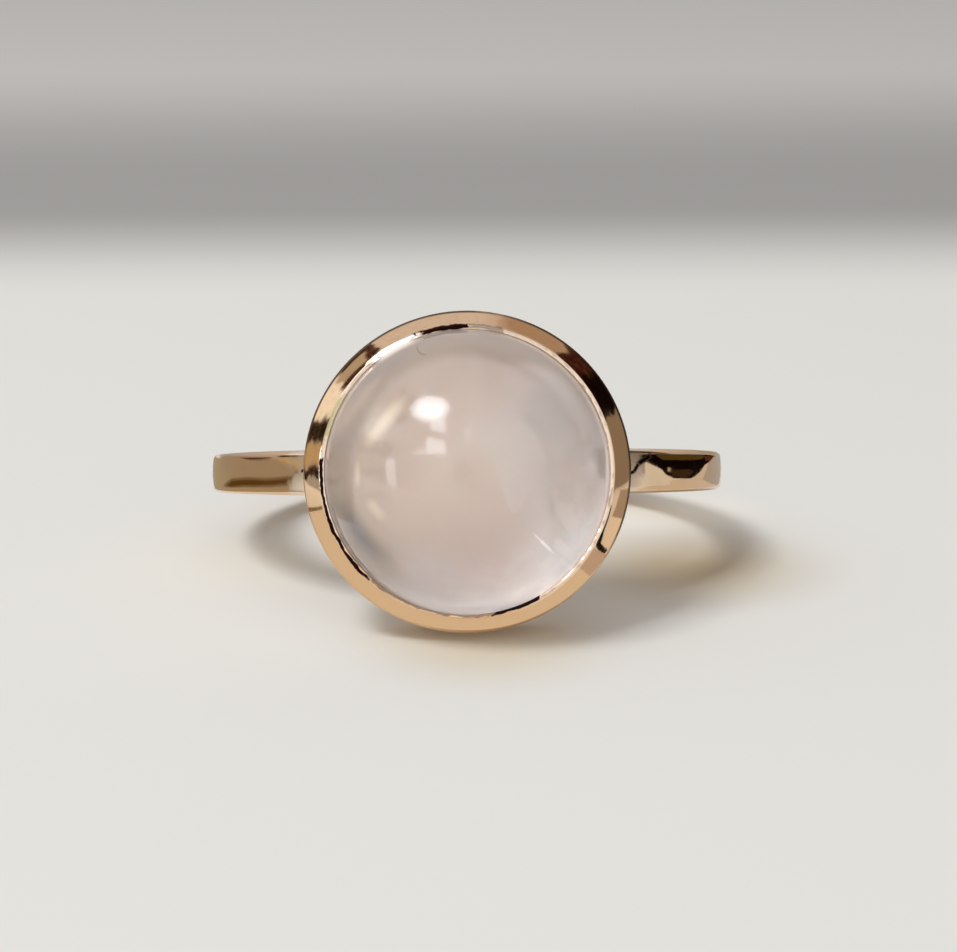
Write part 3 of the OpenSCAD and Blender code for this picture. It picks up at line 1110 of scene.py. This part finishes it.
def floor_material(look):
    """Pale floor that dims further off, with painted warm light and shadow beside the gold."""
    material, tree, shader = new_material("pale_floor")
    spot = place(tree, "ShaderNodeTexCoord").outputs["Object"]
    back = place(tree, "ShaderNodeSeparateXYZ", {0: spot}).outputs["Y"]
    tint = cover(tree, opaque(look.floor), ramp(tree, back, *FLOOR_DIMS), look.far_floor)
    tint = cover(tree, tint, ramp(tree, back, *FLOOR_PALES), look.last_floor)
    lit = opaque(BLACK)
    for middle, reach, amount, glow in WARM_SPOTS:
        near = ramp(tree, measure(tree, "DISTANCE", spot, (*middle, 0.0)), reach * MM, 0.0)
        tint = cover(tree, tint, near, look.warm_floor, amount)
        lit = cover(tree, lit, near, look.warm_floor, glow)
    sockets = {
        "Base Color": tint,
        "Roughness": 0.9,
        "Specular IOR Level": 0.0,
        "Emission Color": lit,
        "Emission Strength": 0.3,
    }
    join(tree, shader, sockets)
    return material


# Panels of light and dark round the ring, as seen from it: clock angle round the stone's axis and half
# width, angle off the axis and half height, softness of the edges, all in degrees, and linear colour
PANELS = [
    ("front", 0, 181, 24, 16, 26, (0.9, 0.87, 0.84)),
    ("behind", 62, 56, 97, 7, 6, (0.13, 0.1, 0.08)),
    ("top", -6, 34, 78, 16, 10, (0.66, 0.64, 0.64)),
    ("top_tan", 27, 15, 78, 16, 16, (0.4, 0.305, 0.235)),
    ("right", 85, 17, 78, 16, 3, (0.25, 0.21, 0.165)),
    ("dark_corner", 57.5, 11, 78, 18, 1.5, (0.005, 0.002, 0.0015)),
    ("dark_red", 44, 5.5, 78, 18, 3, (0.04, 0.012, 0.008)),
    ("left_dark", -90, 2.2, 78, 16, 1, (0.015, 0.008, 0.005)),
    ("left_gold", -83, 4.5, 78, 16, 3, (0.5, 0.4, 0.24)),
    ("left_streak", -74, 4.5, 78, 16, 2, (0.02, 0.015, 0.01)),
    ("left_bright", -61, 8, 78, 16, 3, (0.98, 1.0, 1.0)),
    ("upper_left", -45, 9, 80, 12, 3, (0.46, 0.42, 0.34)),
    ("upper_dark", -47, 8, 67, 3.5, 2, (0.05, 0.025, 0.018)),
    ("upper_edge", -43, 9, 82, 3, 2, (0.04, 0.025, 0.018)),
    ("upper_end", -37, 2.5, 75, 10, 2, (0.05, 0.02, 0.015)),
    ("behind_camera", 0, 181, 0, 9, 8, (0.5, 0.46, 0.44)),
]

# How ragged the sides of the panels are, in degrees
PANEL_RAGGED = 9.0

# Colours of the sky at its foot and its top, between which heights one fades into the other, where 1 is
# straight up, and the colour of the reddish specks in the panels
SKY_LOW = (0.4, 0.39, 0.385)
SKY_HIGH = (0.62, 0.6, 0.58)
SKY_FADES = (0.0, 0.7)
SPECKS = (0.3, 0.15, 0.09)

# Where the specks are, by the angle off the stone's axis, and where there are none, by the clock angle:
# middle, half width and softness, in degrees
SPECKS_OFF = (78, 14, 4)
NO_SPECKS = (60, 8, 5)


def make_world():
    """A pale sky with light and dark panels."""
    world = bpy.data.worlds.new("studio")
    bpy.context.scene.world = world
    world.use_nodes = True
    tree = world.node_tree
    tree.nodes.clear()
    way = place(tree, "ShaderNodeTexCoord").outputs["Generated"]
    across, along, out = [measure(tree, "DOT_PRODUCT", way, axis) for axis in (ACROSS, FINGER, HEAD)]
    clock = calc(tree, "DEGREES", calc(tree, "ARCTAN2", across, along))
    off_axis = calc(tree, "DEGREES", calc(tree, "ARCCOSINE", out))
    clock = strayed(tree, clock, way, PANEL_RAGGED, scale=9.0)
    up = place(tree, "ShaderNodeSeparateXYZ", {0: way}).outputs["Z"]
    sky = cover(tree, opaque(SKY_LOW), ramp(tree, up, *SKY_FADES), SKY_HIGH)
    for name, middle, half, off, reach, soft, light in PANELS:
        around = sector(tree, clock, middle, half, soft)
        panel = both(tree, around, span(tree, off_axis, off, reach, soft))
        panel.node.label = name
        sky = cover(tree, sky, panel, light)
    speckled = patches(tree, way, scale=24.0, low=0.5, high=0.62)
    speckled = both(tree, speckled, span(tree, off_axis, *SPECKS_OFF))
    plain = calc(tree, "SUBTRACT", 1.0, sector(tree, clock, *NO_SPECKS))
    sky = cover(tree, sky, both(tree, speckled, plain), SPECKS, strength=0.14)
    glow = place(tree, "ShaderNodeBackground", {"Color": sky, "Strength": 1.06})
    place(tree, "ShaderNodeOutputWorld", {"Surface": glow.outputs[0]})


# Cards beside the ring that only the polished surfaces see: colour and corners in mm
CARDS = [
    ("right_floor", (0.62, 0.58, 0.52), [(13, -7, 0.1), (34, -7, 0.1), (34, 30, 0.1), (21, 8, 0.1),
                                         (13, 8, 0.1)]),
    ("right_far", (0.42, 0.41, 0.38), [(13, 8, 0.1), (21, 8, 0.1), (34, 30, 0.1), (34, 40, 0.1),
                                       (13, 40, 0.1)]),
    ("right_back", (0.4, 0.34, 0.27), [(11, 40, 0.1), (40, 40, 0.1), (40, 40, 12), (11, 40, 12)]),
    ("left_brown", (0.36, 0.31, 0.24), [(-24, -7.5, 0.1), (-24, 26, 0.1), (-24, 26, 7), (-24, -7.5, 7)]),
    ("left_floor", (0.38, 0.33, 0.235), [(-12, -8, 0.1), (-24, -8, 0.1), (-24, 26, 0.1), (-12, 26, 0.1)]),
]

# Cards placed by where the band's outer face mirrors them: colour, how far to the side they stand, and
# corners on the band as the camera sees them, in mm across and along from the middle of the ring
BAND_CARDS = [
    ("right_olive", (0.08, 0.055, 0.015), 15, [(7.3, 0.85), (7.22, 0.6), (7.47, 0.42), (8.28, 0.39),
                                               (8.95, 0.42), (9.16, 0.6), (8.9, 0.85)]),
    ("right_spot", (0.45, 0.38, 0.27), 15.3, [(7.64, 0.12), (7.76, 0.1), (7.73, -0.06), (7.64, -0.02)]),
    ("right_brown", (0.04, 0.025, 0.01), 15.4, [(7.62, 0.12), (7.8, 0.03), (8.45, 0.05), (8.64, -0.03),
                                                (8.5, -0.19), (8.2, -0.26), (7.92, -0.23), (7.72, -0.08)]),
    ("right_red", (0.09, 0.03, 0.018), 15.5, [(9.08, 0.6), (9.45, 0.6), (9.3, 0.42), (9.1, 0.35)]),
    ("right_dark", (0.004, 0.002, 0.002), 16, [(6.85, 0.85), (6.5, 0.72), (6.55, 0.5), (6.9, 0.33),
                                               (7.35, 0.1), (7.6, -0.16), (7.85, -0.3),
                                               (8.53, -0.3), (8.78, -0.14), (9.06, 0.2), (9.43, 0.54),
                                               (9.52, 0.66), (9.3, 0.85)]),
    ("right_cup", (0.7, 0.72, 0.7), 17, [(6.75, 0.35), (6.95, 0.28), (7.4, 0.05), (7.7, -0.3), (7.78, -0.53),
                                         (7.3, -0.6), (6.9, -0.58), (6.75, -0.1)]),
    ("left_strip", (0.1, 0.055, 0.012), -12, [(-9.2, -0.47), (-8.98, -0.29), (-8.3, -0.25), (-7.7, -0.28),
                                              (-7.12, -0.27), (-6.72, -0.2), (-6.8, -0.39), (-7.46, -0.46),
                                              (-8.47, -0.46), (-9.06, -0.51)]),
    ("left_top", (0.07, 0.035, 0.008), -12.1, [(-8.72, 0.7), (-8.62, 0.58), (-8.3, 0.52), (-7.85, 0.52),
                                               (-7.55, 0.58), (-7.45, 0.7)]),
    ("left_halo", (0.2, 0.15, 0.09), -12.2, [(-9.32, -0.48), (-9.0, -0.19), (-8.3, -0.15), (-7.7, -0.18),
                                             (-7.12, -0.16), (-6.6, -0.1), (-6.65, -0.47), (-7.46, -0.54),
                                             (-8.47, -0.54), (-9.1, -0.59)]),
]

# Cards on the floor that the rim's wide bevel mirrors: colour, and corners as the clock angle where the
# rim mirrors them and the angle off the stone's axis at which it does, in degrees
FLOOR_CARDS = [
    ("rim_olive", (0.4, 0.33, 0.27), [(97, 71), (107.5, 68), (107.5, 86), (96, 86)]),
    ("rim_glint", (0.8, 0.74, 0.67), [(107.5, 69), (119, 69), (120, 77), (119, 86), (107.5, 86)]),
    ("rim_hook", (0.008, 0.004, 0.003), [(103, 61), (104, 64.5), (112, 65), (116, 67.5), (118.8, 69),
                                         (119.6, 76), (119, 79), (120.6, 82), (121.8, 79),
                                         (121.4, 70), (120.2, 63), (117, 60)]),
    ("rim_tan", (0.55, 0.47, 0.42), [(121.6, 60), (131, 60), (131, 86), (121.6, 86)]),
    ("rim_low", (0.74, 0.67, 0.56), [(131.1, 62), (145, 60), (160, 56), (180, 52), (200, 56), (215, 60),
                                     (235, 62), (255.3, 64), (255.3, 87), (235, 90), (215, 92),
                                     (200, 96), (180, 99), (160, 96), (145, 91), (131.1, 87)]),
    ("rim_mark", (0.2, 0.15, 0.08), [(-104.5, 66), (-103.2, 66), (-102.6, 86), (-104.2, 86)]),
]

# Colour of the light in the window, and how far off its nearest pane is, in mm. The others stand behind
# it, 1 mm apart.
DAYLIGHT = (0.95, 1.0, 1.07)
NEAREST_PANE = 500

# Panes of the window, where the dome mirrors them: light, and corners seen from above the stone in mm
PANES = [
    ("window", 28.0, [(-1.6, 2.2), (-1.5, 2.27), (-1.2, 2.29), (-0.86, 2.25), (-0.7, 2.11),
                      (-0.81, 1.97), (-1.0, 1.87), (-1.36, 1.85), (-1.5, 1.98)]),
    ("window_foot", 3.3, [(-1.24, 1.9), (-0.72, 1.9), (-0.71, 1.29), (-1.2, 1.42)]),
    ("window_halo", 2.9, [(-1.95, 2.17), (-1.66, 2.46), (-1.2, 2.56), (-0.78, 2.48), (-0.53, 2.15),
                          (-0.66, 1.9), (-0.95, 1.68), (-1.46, 1.66), (-1.8, 1.85)]),
    ("lower_pane", 3.1, [(-1.34, 1.17), (-0.73, 1.05), (-0.72, 0.6), (-1.39, 0.6)]),
    ("lower_corner", 2.3, [(-1.45, 0.85), (-1.45, 0.6), (-1.82, 0.6)]),
    ("streak", 1.9, [(-0.05, 1.46), (0.08, 1.46), (0.08, 0.99), (-0.05, 0.99)]),
    ("side_pane", 1.9, [(-2.74, 0.4), (-2.62, 0.5), (-2.42, 0.42), (-2.3, -0.66), (-2.62, -0.7)]),
    ("side_foot", 1.35, [(-2.6, -0.7), (-2.3, -0.66), (-2.26, -1.1), (-2.44, -1.1)]),
]

# The middle of the rim's wide bevel, as a height and a radius, about how high the dome mirrors the
# window, and the height of the cards on the floor, in mm
BEVEL_HEIGHT = 10.8
BEVEL_RADIUS = 5.25
MIRROR_HEIGHT = 13
CARD_HEIGHT = 0.1


def toward(clock, off):
    """The direction at a clock angle round the head's axis and an angle off it, in degrees."""
    turn, lean = math.radians(clock), math.radians(off)
    out = ACROSS * math.sin(turn) + FINGER * math.cos(turn)
    return HEAD * math.cos(lean) + out * math.sin(lean)


def on_the_floor(clock, off):
    """Where the floor is met by the light that the rim mirrors at a clock angle, in mm."""
    start = HOLE_MIDDLE / MM + HEAD * BEVEL_HEIGHT + toward(clock, 90) * BEVEL_RADIUS
    way = toward(clock, off)
    return start - way * ((start.z - CARD_HEIGHT) / way.z)


def in_the_window(x, y, far):
    """Where the light comes from that the dome mirrors at a point, in mm."""
    radius = DOME_RADIUS / MM
    normal = (ACROSS * x + FINGER * y + HEAD * math.sqrt(radius**2 - x**2 - y**2)) / radius
    way = normal * (2 * normal.dot(HEAD)) - HEAD
    return HOLE_MIDDLE / MM + HEAD * MIRROR_HEIGHT + way * far


def beside_the_band(x, along, aside, band, camera):
    """Where the light comes from that the band mirrors at a spot, on an upright plane, in mm."""
    radius = (band.finger_radius + band.thickness) / MM
    # The higher a spot is on the band, the nearer it is to the camera, so it is found in a few steps
    depth = 0
    for _step in range(8):
        near = 1 - depth / camera
        turn = math.asin(x * near / radius)
        depth = radius * math.cos(turn)
    narrow = (band.head_width - band.back_width) * math.cos(turn)
    half = (band.head_width + band.back_width + narrow) / 4 / MM
    lean = 2 * band.crown / MM * along * near / half**2
    out = ACROSS * math.sin(turn) + HEAD * math.cos(turn)
    middle = HOLE_MIDDLE / MM
    spot = middle + out * radius + FINGER * (along * near)
    way = (spot - middle - HEAD * camera).normalized()
    way = way.reflect((out + FINGER * lean).normalized())
    return spot + way * ((aside - spot.x) / way.x)


def all_cards(band, camera):
    """Every card, with its colour and its corners in mm."""
    rows = list(CARDS)
    for name, light, aside, corners in BAND_CARDS:
        rows.append((name, light, [beside_the_band(*spot, aside, band, camera) for spot in corners]))
    for name, light, corners in FLOOR_CARDS:
        rows.append((name, light, [on_the_floor(*spot) for spot in corners]))
    for far, (name, light, corners) in enumerate(PANES, NEAREST_PANE):
        daylight = tuple(Vector(DAYLIGHT) * light)
        rows.append((name, daylight, [in_the_window(*spot, far) for spot in corners]))
    return rows


def make_cards(band, camera):
    """Thin cards for the reflections in the polished surfaces."""
    for name, light, corners in all_cards(band, camera):
        mesh = bpy.data.meshes.new(name)
        mesh.from_pydata([Vector(corner) * MM for corner in corners], [], [tuple(range(len(corners)))])
        material = bpy.data.materials.new(name)
        material.use_nodes = True
        tree = material.node_tree
        tree.nodes.clear()
        glow = place(tree, "ShaderNodeEmission", {"Color": opaque(light)})
        place(tree, "ShaderNodeOutputMaterial", {"Surface": glow.outputs[0]})
        mesh.materials.append(material)
        card = add_object(name, mesh)
        for ray in ("camera", "diffuse", "transmission", "volume_scatter", "shadow"):
            setattr(card, "visible_" + ray, False)


def aim(way):
    """The turn of a lamp that shines from a direction, with its sides level to the ring's."""
    back = Vector(way).normalized()
    up = (FINGER - back * FINGER.dot(back)).normalized()
    return Matrix((up.cross(back), up, back)).transposed().to_quaternion()


def add_panel_light(name, clock, off, width, height, distance, brightness, tint):
    """A soft lamp seen at a clock angle and off the stone's axis, sized in degrees."""
    way = toward(clock, off)
    lamp = bpy.data.lights.new(name, "AREA")
    lamp.shape = "RECTANGLE"
    lamp.size = 2 * distance * math.tan(math.radians(width) / 2)
    lamp.size_y = 2 * distance * math.tan(math.radians(height) / 2)
    lamp.energy = brightness * math.pi * lamp.size * lamp.size_y
    lamp.color = tint
    piece = bpy.data.objects.new(name, lamp)
    piece.location = HOLE_MIDDLE + way * distance
    piece.rotation_mode = "QUATERNION"
    piece.rotation_quaternion = aim(way)
    piece.visible_glossy = False
    bpy.context.scene.collection.objects.link(piece)


# The picture's width, and how far its middle lies right of the stone's and below it, in pixels
PICTURE_WIDTH = 957
RIGHT_OF_STONE = 11.2
BELOW_STONE = 4.2


def make_camera(look):
    """The camera, on the head's axis."""
    data = bpy.data.cameras.new("camera")
    data.sensor_width = 36
    data.lens = look.focal
    data.clip_start = 0.005
    camera = bpy.data.objects.new("camera", data)
    camera.location = HOLE_MIDDLE + HEAD * look.distance
    turn = Matrix((ACROSS, FINGER, HEAD)).transposed()
    focal = look.focal / data.sensor_width * PICTURE_WIDTH
    side = math.atan(RIGHT_OF_STONE / focal)
    rise = math.atan(-BELOW_STONE / focal)
    turn = turn @ Matrix.Rotation(-side, 3, "Y") @ Matrix.Rotation(rise, 3, "X")
    turn = turn @ Matrix.Rotation(-look.roll, 3, "Z")
    camera.rotation_mode = "QUATERNION"
    camera.rotation_quaternion = turn.to_quaternion()
    bpy.context.scene.collection.objects.link(camera)
    bpy.context.scene.camera = camera


def make_floor(look):
    """A wide flat floor."""
    mesh = bpy.data.meshes.new("floor")
    corners = ((-1, -1), (1, -1), (1, 1), (-1, 1))
    points = [(x * FLOOR_HALF, y * FLOOR_HALF, 0) for x, y in corners]
    mesh.from_pydata(points, [], [(0, 1, 2, 3)])
    floor = add_object("floor", mesh)
    mesh.materials.append(floor_material(look))


class RING_OT_metal(bpy.types.Operator):
    """Make the soldered band and bezel"""

    bl_idname = "ring.metal"
    bl_label = "Band and bezel"

    def execute(self, context):
        scene = context.scene
        gold = gold_material(scene.ring_gold, wavy_polish(), scene.ring_bezel, scene.ring_stone)
        base = make_band(scene.ring_band, gold)
        parts = [add_object("bezel_step", make_bezel(scene.ring_bezel, scene.ring_stone))]
        for side in (-1, 1):
            mesh = make_solder(side, scene.ring_band, scene.ring_bezel)
            parts.append(add_object("solder_step", mesh))
        for part in parts:
            part.data.materials.append(gold)
            union = base.modifiers.new("Solder", "BOOLEAN")
            union.operation = "UNION"
            union.solver = "MANIFOLD"
            union.object = part
        metal = finished(base, "band_and_bezel_polished")
        for part in (base, *parts):
            forget(part)
        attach(metal, "root")
        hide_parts("band_and_bezel")
        return {"FINISHED"}


class RING_OT_cabochon(bpy.types.Operator):
    """Make the rose quartz cabochon"""

    bl_idname = "ring.cabochon"
    bl_label = "Cabochon"

    def execute(self, context):
        scene = context.scene
        step = add_object("cabochon_step", make_cabochon(scene.ring_stone))
        step.data.materials.append(quartz_material(scene.ring_quartz))
        stone = finished(step, "cabochon_polished")
        forget(step)
        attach(stone, "root")
        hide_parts("cabochon")
        return {"FINISHED"}


class RING_OT_stage(bpy.types.Operator):
    """Make the floor, the light and the camera"""

    bl_idname = "ring.stage"
    bl_label = "Stage"

    def execute(self, context):
        look = context.scene.ring_stage
        make_camera(look)
        make_floor(look)
        make_world()
        make_cards(context.scene.ring_band, look.distance / MM)
        add_panel_light(
            "window",
            clock=-30,
            off=57,
            width=20,
            height=17,
            distance=0.6,
            brightness=16,
            tint=(1, 0.99, 0.97),
        )
        context.scene.view_settings.view_transform = "Standard"
        return {"FINISHED"}


class RING_PT_panel(bpy.types.Panel):
    """Lists the ring's pieces"""

    bl_idname = "RING_PT_panel"
    bl_label = "Rose Quartz Ring"
    bl_space_type = "VIEW_3D"
    bl_region_type = "UI"
    bl_category = "Ring"

    def draw(self, context):
        for name in OPERATORS:
            self.layout.operator(name)
        for name in GROUPS:
            group = getattr(context.scene, name)
            box = self.layout.box()
            for prop in group.bl_rna.properties:
                if not prop.is_readonly and prop.identifier != "name":
                    box.prop(group, prop.identifier)


GROUPS = {
    "ring_band": RING_PG_band,
    "ring_bezel": RING_PG_bezel,
    "ring_stone": RING_PG_stone,
    "ring_gold": RING_PG_gold,
    "ring_quartz": RING_PG_quartz,
    "ring_stage": RING_PG_stage,
}
OPERATORS = ("ring.metal", "ring.cabochon", "ring.stage")
CLASSES = (*GROUPS.values(), RING_OT_metal, RING_OT_cabochon, RING_OT_stage, RING_PT_panel)


def register():
    """Registers the classes and the sizes on the scene."""
    for each in CLASSES:
        bpy.utils.register_class(each)
    for name, group in GROUPS.items():
        setattr(bpy.types.Scene, name, PointerProperty(type=group))


def unregister():
    """Takes the classes and the sizes away."""
    for name in GROUPS:
        delattr(bpy.types.Scene, name)
    for each in reversed(CLASSES):
        bpy.utils.unregister_class(each)


def main():
    """Makes the ring and its stage."""
    register()
    bpy.ops.ring.metal()
    bpy.ops.ring.cabochon()
    bpy.ops.ring.stage()


if __name__ == "__main__":
    main()
